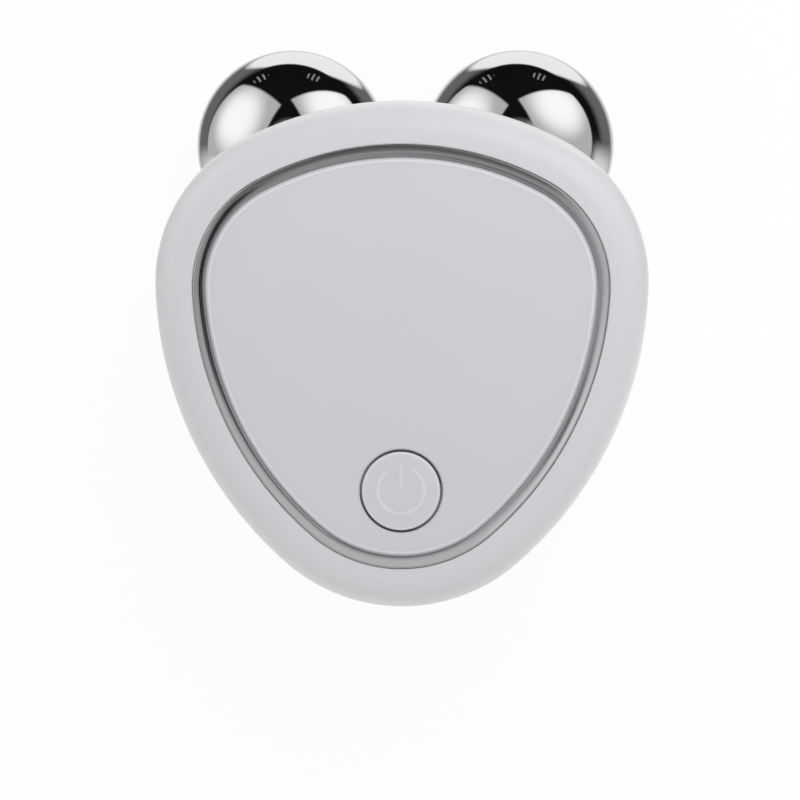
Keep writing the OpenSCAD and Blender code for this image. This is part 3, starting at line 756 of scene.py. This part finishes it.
class TONER_OT_front_casing(bpy.types.Operator):
    """Front half of the casing: the rounded rim, the seat of the trim ring and the deck"""
    bl_idname = "toner.front_casing"
    bl_label = "Front Casing"

    def execute(self, context):
        c = context.scene.toner_casing
        f = context.scene.toner_front
        inner_face = c.wall / 2 + c.lap_gap
        side = [
            (inner_face, SPLIT_Z - c.lap_h),
            (inner_face, SPLIT_Z),
            (c.seam, SPLIT_Z),
            (0.3 * c.seam, SPLIT_Z + 0.3 * c.seam),
            (0, SPLIT_Z + c.seam)]
        rim = [(w, RIM_Z - c.rim_h + h) for w, h in quarter(16, c.rim_w, c.rim_h)]
        seat = [
            (f.bezel_w - f.seat_edge, RIM_Z),
            (f.bezel_w, RIM_Z - f.seat_edge),
            (f.bezel_w, DECK_TOP_Z)]
        face = outline_stations(c, f.bezel_drop)
        body = outline_stations(c)
        casing = swept_object("front_casing", along(body, side + rim) + along(face, seat))
        mid_wall = 0.75 * c.wall
        below_deck = [(mid_wall, SPLIT_Z - 2 * c.lap_h), (mid_wall, DECK_TOP_Z - f.deck_skin)]
        within_seat = f.bezel_w + f.deck_skin
        in_deck = [
            (within_seat, DECK_TOP_Z - f.deck_skin - f.deck_lap),
            (within_seat, DECK_TOP_Z + 2 * f.deck_lap)]
        cut(casing, [cavity_object(along(body, below_deck), "front_shell"),
                     cavity_object(along(face, in_deck), "front_shell")])
        smooth(casing)
        finish = context.scene.toner_finish
        finished(casing, satin_shell(finish), CASING, ["front_shell"])
        return {"FINISHED"}


class TONER_OT_trim_ring(bpy.types.Operator):
    """Polished ring around the front plate"""
    bl_idname = "toner.trim_ring"
    bl_label = "Trim Ring"

    def execute(self, context):
        c = context.scene.toner_casing
        f = context.scene.toner_front
        outer = f.bezel_w + f.seat_gap
        inner = f.bezel_w + f.trim_w - f.seat_gap
        top = box_top("trim_ring") - f.ring_drop
        crown = outer + f.crown * (inner - outer)
        start = outer + f.shoulder
        lip = inner - f.channel_w
        lip_drop = f.ring_sag * ((lip - crown) / (crown - start)) ** 2
        foot = top - f.ring_sag - f.shoulder
        rings = [
            (outer, DECK_TOP_Z),
            *((outer + w, foot + h) for w, h in quarter(6, f.shoulder, f.shoulder)),
            *((start + (crown - start) * k, top - f.ring_sag * (1 - k) ** 2) for k in arc(0.1, 1, 9)),
            *((crown + (lip - crown) * k, top - lip_drop * k ** 2) for k in arc(0.25, 1, 3)),
            (lip + f.lip_edge, top - lip_drop - f.lip_edge),
            (lip + f.lip_edge + f.lip_slant, PLATE_Z - f.channel_d),
            (inner, PLATE_Z - f.channel_d),
            (inner, DECK_TOP_Z)]
        ring = swept_object("trim", along(outline_stations(c, f.bezel_drop), rings), closed=True)
        smooth(ring)
        finished(ring, ring_plating(context.scene.toner_finish), CASING, ["trim_ring"])
        return {"FINISHED"}


class TONER_OT_front_plate(bpy.types.Operator):
    """Front plate with a rounded edge and the button's hole"""
    bl_idname = "toner.front_plate"
    bl_label = "Front Plate"

    def execute(self, context):
        c = context.scene.toner_casing
        f = context.scene.toner_front
        edge = f.bezel_w + f.trim_w
        lap = edge - f.channel_w + f.lip_edge
        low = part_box("front_plate")[0].z
        side_top = PLATE_Z - f.plate_fall
        side = [(edge, low), (edge, side_top)]
        round_over = [(lap + w, side_top + h) for w, h in quarter(12, f.plate_edge, f.plate_fall)]
        plate = swept_object("faceplate", along(outline_stations(c, f.bezel_drop), side + round_over))
        hole_r = f.cap_d / 2 + f.cap_gap
        mouth_r = hole_r + f.hole_edge
        flare = [(mouth_r - w, PLATE_Z - h) for w, h in quarter(6, f.hole_edge, f.hole_edge)]
        profile = [
            (0, low - PAST),
            (hole_r, low - PAST),
            *reversed(flare),
            (mouth_r, PLATE_Z + PAST),
            (0, PLATE_Z + PAST)]
        cut(plate, [turned("hole", profile, upright(BUTTON_AT.x, BUTTON_AT.y))])
        smooth(plate)
        finished(plate, plate_plastic(context.scene.toner_finish), CASING, ["front_plate"])
        return {"FINISHED"}


def add_symbol(cap, f):
    """Raises an open ring with a bar in its gap on the cap, low and rounded."""
    half_w = f.symbol_w / 2
    root_z = CAP_Z - SYMBOL_H
    rise = 2 * SYMBOL_H
    bm = bmesh.new()
    section = [Vector((f.symbol_r + half_w * math.cos(t), 0, root_z + rise * math.sin(t)))
               for t in arc(math.pi, 0, 8)]
    verts, edges = edge_loop(bm, section)
    gap = math.radians(f.symbol_open)
    bmesh.ops.rotate(bm, verts=verts, matrix=Matrix.Rotation(math.pi / 2 + gap / 2, 3, "Z"))
    bmesh.ops.spin(bm, geom=verts + edges, cent=(0, 0, 0), axis=(0, 0, 1), angle=2 * math.pi - gap, steps=72)
    bmesh.ops.edgeloop_fill(bm, edges=[e for e in bm.edges if e.is_boundary])
    bar = bmesh.ops.create_uvsphere(bm, u_segments=16, v_segments=12, radius=half_w)["verts"]
    for v in bar:
        v.co.y += math.copysign(f.bar_l / 2 - half_w, v.co.y) + f.bar_y
        v.co.z = root_z + rise * v.co.z / half_w
    bmesh.ops.translate(bm, verts=bm.verts, vec=(BUTTON_AT.x, BUTTON_AT.y, 0))
    bmesh.ops.recalc_face_normals(bm, faces=bm.faces)
    symbol = bpy.data.meshes.new("symbol")
    bm.to_mesh(symbol)
    bm.free()
    both = bmesh.new()
    both.from_mesh(cap.data)
    both.from_mesh(symbol)
    both.to_mesh(cap.data)
    both.free()
    bpy.data.meshes.remove(symbol)


class TONER_OT_power_button(bpy.types.Operator):
    """Push button with a raised ring and bar on its cap"""
    bl_idname = "toner.power_button"
    bl_label = "Power Button"

    def execute(self, context):
        f = context.scene.toner_front
        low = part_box("power_button")[0].z
        r = f.cap_d / 2
        stem_r = f.stem_d / 2
        flange_r = f.flange_d / 2
        flange_z = PLATE_Z - f.flange_depth
        rim = [(r - w, CAP_Z - f.cap_edge + h) for w, h in quarter(6, f.cap_edge, f.cap_edge)]
        profile = [
            (0, low),
            (stem_r, low),
            (stem_r, flange_z - f.flange_h),
            (flange_r, flange_z - f.flange_h),
            (flange_r, flange_z),
            (r, flange_z),
            *rim,
            (0, CAP_Z)]
        cap = turned("button_cap", profile, upright(BUTTON_AT.x, BUTTON_AT.y))
        add_symbol(cap, f)
        smooth(cap)
        finished(cap, button_plastic(context.scene.toner_finish), BUTTON, ["power_button"])
        return {"FINISHED"}


class TONER_OT_balls(bpy.types.Operator):
    """The two hollow balls, polished like mirrors"""
    bl_idname = "toner.balls"
    bl_label = "Balls"

    def execute(self, context):
        b = context.scene.toner_balls
        finish = ball_plating(context.scene.toner_finish)
        face = b.flat - BALL_R
        outer_start = math.acos(-face / BALL_R)
        bore = b.hub_d / 2 + b.fit
        seat = bore + b.seat_wall
        inner_r = BALL_R - b.wall
        seat_z = face + b.seat_l
        inner_start = math.asin(seat / inner_r)
        outer = [(BALL_R * math.sin(t), -BALL_R * math.cos(t)) for t in arc(outer_start, math.pi, 72)]
        inner = [(inner_r * math.sin(t), -inner_r * math.cos(t)) for t in arc(math.pi, inner_start, 40)]
        profile = [(bore, face), *outer, *inner, (seat, seat_z), (bore, seat_z)]
        for side, body in ROLLERS.items():
            ball = turned(side + "_ball_shell", profile, axle_space(side))
            smooth(ball)
            finished(ball, finish, body, [side + "_ball"])
        return {"FINISHED"}


class TONER_OT_inner_parts(bpy.types.Operator):
    """Finishes of the pieces inside: axles, bushes, electronics and battery"""
    bl_idname = "toner.inner_parts"
    bl_label = "Inner Parts"

    def execute(self, context):
        steel = turned_metal("ground_steel", (0.56, 0.57, 0.58), 0.28)
        brass = turned_metal("turned_brass", (0.78, 0.56, 0.22), 0.25)
        plate = turned_metal("nickel_plate", (0.7, 0.7, 0.69), 0.2)
        black = inner_plastic("black_moulding", (0.02, 0.02, 0.022), 0.45)
        by_slot = {
            "axle_steel": steel,
            "screw_steel": steel,
            "hub_brass": brass,
            "bush_bronze": sintered_bronze(),
            "switch_metal": plate,
            "socket_steel": plate,
            "black_plastic": black,
            "board_green": solder_mask(),
            "ferrite": inner_plastic("pressed_ferrite", (0.04, 0.04, 0.042), 0.6),
            "ceramic_tan": inner_plastic("fired_ceramic", (0.4, 0.28, 0.15), 0.35),
            "battery_foil": battery_foil(),
            "adhesive_film": inner_plastic("adhesive", (0.75, 0.7, 0.58), 0.3),
            "foam": soft_foam(),
            "lead_red": inner_plastic("red_sleeve", (0.45, 0.02, 0.015), 0.4),
            "lead_green": inner_plastic("green_sleeve", (0.03, 0.3, 0.1), 0.4),
        }
        for part in frame["record"]["subparts"]:
            material = by_slot.get(part["material_slot"])
            if material is None:
                continue
            data = frame["nodes"][part["node"]].data
            data.materials.clear()
            data.materials.append(material)
        return {"FINISHED"}


# ---- studio ----

# What the polished pieces mirror, by direction from them. Each box light is given by the normals of
# the planes that bound it, and by the direction of its brightest spot.
LEFT_BOX = (((-0.787, -0.504, 0.356), (-0.787, 0.28, -0.55), (-0.54, -0.08, 0.83)), (-0.88, 0.42, 0.22))
RIGHT_BOX = (((0.597, -0.449, 0.666), (0.858, 0.287, -0.425), (0.189, 0.054, 0.98)), (0.68, 0.66, 0.32))
BOX_EDGE = 0.6
BOX_MIDDLE = 1.35
GRILLES = ((-0.42, 0.885, -0.17), (0.29, 0.95, -0.11))
GRILLE_BARS = 95
GRILLE_LEVEL = 0.3
STRIP = (0.09, 0.72, -0.69)
STRIP_TOP = (0.11, -0.44, -0.9)
STRIP_LEVEL = 1.15
CEILING = 0.18
CEILING_STEPS = (("Y", 0.33, 0.19, 0.34), ("Y", 0, -0.17, 0.33), ("X", 0.16, 0.28, 0.28))
FLAG = (((-0.945, -0.326, -0.07), 0.015), ((0.996, 0.093, 0.29), 0.02), ((0, 1, 0.079), 0.02),
        ((0, -1, 0.249), 0.03))
SPOT = (0.13, -0.09, 0.985)
SPOT_SIDES = ((0.42, 0.9, 0.05), (-0.62, -0.78, 0.04))
LENS = (0.021, 0.084, 0.996)
LENS_SHADE = 0.7
UP = (0, 0, 1)
SURROUND = 0.007
CAMERA_WHITE = (0.99, 0.99, 0.99, 1)


def dot_with(tree, way, direction):
    node = add_node(tree, "VectorMath")
    node.operation = "DOT_PRODUCT"
    tree.links.new(way, node.inputs[0])
    node.inputs[1].default_value = Vector(direction).normalized()
    return node.outputs["Value"]


def facing(tree, way, normal, soft=0.03):
    """1 on the side of the plane through the eye that normal points to."""
    return mask(tree, dot_with(tree, way, normal), -soft, soft)


def near(tree, way, centre, full, none):
    """Falls from 1 to 0 as the angle to centre grows from full to none degrees."""
    return mask(tree, dot_with(tree, way, centre), math.cos(math.radians(none)), math.cos(math.radians(full)))


def gather(tree, operation, values):
    """The values, taken together by one operation after another."""
    total = values[0]
    for value in values[1:]:
        total = math_node(tree, operation, total, value)
    return total


def product(tree, *values):
    return gather(tree, "MULTIPLY", values)


def inverse(tree, value):
    return math_node(tree, "SUBTRACT", 1.0, value)


def box_light(tree, way, planes, centre):
    """A soft box, bright in its middle."""
    inside = product(tree, *[facing(tree, way, plane) for plane in planes])
    glow = remap(tree, near(tree, way, centre, 6, 40), 0, 1, BOX_EDGE, BOX_MIDDLE)
    return product(tree, inside, glow)


def low_lights(tree, way, x, y, z):
    """A strip, two small grilles, a pale table and the glow under it."""
    strip = product(tree, near(tree, way, STRIP, 24, 30), facing(tree, way, STRIP_TOP), STRIP_LEVEL)
    below = math_node(tree, "ADD",
                      remap(tree, z, -0.36, -0.62, 0, 0.17, "SMOOTHSTEP"),
                      remap(tree, z, -0.82, -0.97, 0, 0.75, "SMOOTHSTEP"))
    table = product(tree, remap(tree, y, 0.12, -0.2, 0, 0.9, "SMOOTHSTEP"), mask(tree, z, -0.1, -0.4))
    waves = math_node(tree, "SINE", math_node(tree, "MULTIPLY", x, GRILLE_BARS), 0)
    bars = remap(tree, waves, 0, 0.7, 0, GRILLE_LEVEL, "SMOOTHSTEP")
    grilles = [product(tree, near(tree, way, centre, 5, 7), bars) for centre in GRILLES]
    return [strip, below, table, *grilles]


def overhead_light(tree, way, x, y):
    """The lit ceiling that the trim ring mirrors, with the dark shapes that give it its lines."""
    ceiling = CEILING
    for axis, low, high, add in CEILING_STEPS:
        ceiling = math_node(tree, "ADD", remap(tree, {"X": x, "Y": y}[axis], low, high, 0, add), ceiling)
    flag = product(tree, *[facing(tree, way, normal, soft) for normal, soft in FLAG])
    sides = [facing(tree, way, normal, 0.02) for normal in SPOT_SIDES]
    spot = product(tree, near(tree, way, SPOT, 4, 6.5), *sides)
    lens = math_node(tree, "MULTIPLY", near(tree, way, LENS, 1.2, 3.8), LENS_SHADE)
    dark = gather(tree, "MAXIMUM", (flag, spot, lens))
    return product(tree, near(tree, way, UP, 26, 35), ceiling, inverse(tree, dark))


def front_light(tree, way, z):
    """A broad soft wall behind the viewer."""
    rise = remap(tree, z, -0.2, 0.5, 0.1, 0.75)
    below_ceiling = inverse(tree, near(tree, way, UP, 34, 44))
    return product(tree, facing(tree, way, (0, -1, 0.1), 0.35), rise, below_ceiling)


def studio_world(studio):
    """White to the camera, lights on a dark surround to what mirrors, and even light to the rest."""
    world = bpy.data.worlds.new("studio")
    bpy.context.scene.world = world
    world.use_nodes = True
    tree = world.node_tree
    tree.nodes.clear()
    way = add_node(tree, "TexCoord").outputs["Generated"]
    x, y, z = add_node(tree, "SeparateXYZ", Vector=way).outputs
    lights = [box_light(tree, way, *box) for box in (LEFT_BOX, RIGHT_BOX)]
    lights += low_lights(tree, way, x, y, z)
    lights += [overhead_light(tree, way, x, y), front_light(tree, way, z)]
    mirrored = gather(tree, "MAXIMUM", [*lights, SURROUND])
    walls = remap(tree, z, 1, 0, studio.ambient, studio.ambient + studio.walls)
    even = product(tree, walls, remap(tree, y, -1, 1, 1.12, 0.88))
    rays = add_node(tree, "LightPath")
    level = add_node(tree, "Mix", Factor=rays.outputs["Is Glossy Ray"], A=even, B=mirrored)
    surround = add_node(tree, "Background", Strength=level.outputs["Result"])
    white = add_node(tree, "Background", Strength=1, Color=CAMERA_WHITE)
    mix = add_node(tree, "MixShader", Fac=rays.outputs["Is Camera Ray"])
    tree.links.new(surround.outputs[0], mix.inputs[1])
    tree.links.new(white.outputs[0], mix.inputs[2])
    add_node(tree, "OutputWorld", Surface=mix.outputs[0])


FLOOR_WHITE = 0.93  # the share of white in what the camera sees of the floor
FLOOR_REACH = 3
KEY_AT = (0.07, 0.17, 0.28)
KEY_D = 0.25
FILL_AT = (-0.25, -0.6, 0.5)
FILL_D = 0.7
LIT_POINT = (0, 0, 0.02)


def floor_material(studio):
    """A pale floor that looks white, and keeps a soft shadow."""
    material = bpy.data.materials.new("pale_floor")
    material.use_nodes = True
    tree = material.node_tree
    tree.nodes.clear()
    matt = add_node(tree, "BsdfDiffuse", Color=(*studio.floor, 1))
    glow = add_node(tree, "Emission", Strength=1)
    seen = add_node(tree, "LightPath").outputs["Is Camera Ray"]
    both = add_node(tree, "MixShader", Fac=math_node(tree, "MULTIPLY", seen, FLOOR_WHITE))
    tree.links.new(matt.outputs[0], both.inputs[1])
    tree.links.new(glow.outputs[0], both.inputs[2])
    add_node(tree, "OutputMaterial", Surface=both.outputs[0])
    return material


def area_light(name, power, diameter, at):
    """A round lamp that no surface mirrors."""
    data = bpy.data.lights.new(name, "AREA")
    data.energy = power
    data.shape = "DISK"
    data.size = diameter
    lamp = bpy.data.objects.new(name, data)
    lamp.location = at
    lamp.rotation_euler = (Vector(LIT_POINT) - Vector(at)).to_track_quat("-Z", "Y").to_euler()
    lamp.visible_glossy = False
    lamp.visible_camera = False
    bpy.context.scene.collection.objects.link(lamp)


def add_camera(studio):
    """A camera high above its foot, aimed at the middle of the picture, with Y upwards."""
    camera = bpy.data.cameras.new("camera")
    at = Vector((studio.foot_x, studio.foot_y, PLATE_Z + studio.distance))
    aim = Vector((studio.aim_x, studio.aim_y, PLATE_Z))
    camera.lens = camera.sensor_width * (at - aim).length / studio.view_w
    camera.clip_end = 10
    back = (at - aim).normalized()
    across = Vector((0, 1, 0)).cross(back).normalized()
    turn = Matrix((across, back.cross(across), back)).transposed()
    eye = bpy.data.objects.new("camera", camera)
    eye.matrix_world = Matrix.Translation(at) @ turn.to_4x4()
    bpy.context.scene.collection.objects.link(eye)
    bpy.context.scene.camera = eye


class TONER_OT_stage(bpy.types.Operator):
    """Pale floor, soft studio light and the camera"""
    bl_idname = "toner.stage"
    bl_label = "Stage"

    def execute(self, context):
        studio = context.scene.toner_studio
        bm = bmesh.new()
        bmesh.ops.create_grid(bm, x_segments=1, y_segments=1, size=FLOOR_REACH)
        floor = to_object(bm, "floor")
        floor.data.materials.append(floor_material(studio))
        floor.visible_glossy = False
        area_light("key", studio.key, KEY_D, KEY_AT)
        area_light("fill", studio.fill, FILL_D, FILL_AT)
        studio_world(studio)
        add_camera(studio)
        context.scene.view_settings.view_transform = "Standard"
        return {"FINISHED"}


OPERATORS = [TONER_OT_rear_casing, TONER_OT_front_casing, TONER_OT_trim_ring, TONER_OT_front_plate,
             TONER_OT_power_button, TONER_OT_balls, TONER_OT_inner_parts, TONER_OT_stage]


class TONER_PT_panel(bpy.types.Panel):
    bl_idname = "TONER_PT_panel"
    bl_label = "Facial Toning Device"
    bl_space_type = "VIEW_3D"
    bl_region_type = "UI"
    bl_category = "Toner"

    def draw(self, context):
        for operator in OPERATORS:
            self.layout.operator(operator.bl_idname)
        for name, group in GROUPS.items():
            box = self.layout.box()
            for field in group.__annotations__:
                box.prop(getattr(context.scene, name), field)


CLASSES = [*GROUPS.values(), *OPERATORS, TONER_PT_panel]


def register():
    for item in CLASSES:
        bpy.utils.register_class(item)
    for name, group in GROUPS.items():
        setattr(bpy.types.Scene, name, PointerProperty(type=group))


def unregister():
    for name in GROUPS:
        delattr(bpy.types.Scene, name)
    for item in reversed(CLASSES):
        bpy.utils.unregister_class(item)


def main():
    register()
    for operator in OPERATORS:
        getattr(bpy.ops.toner, operator.bl_idname.split(".")[1])()
    bpy.context.view_layer.update()


if __name__ == "__main__":
    main()
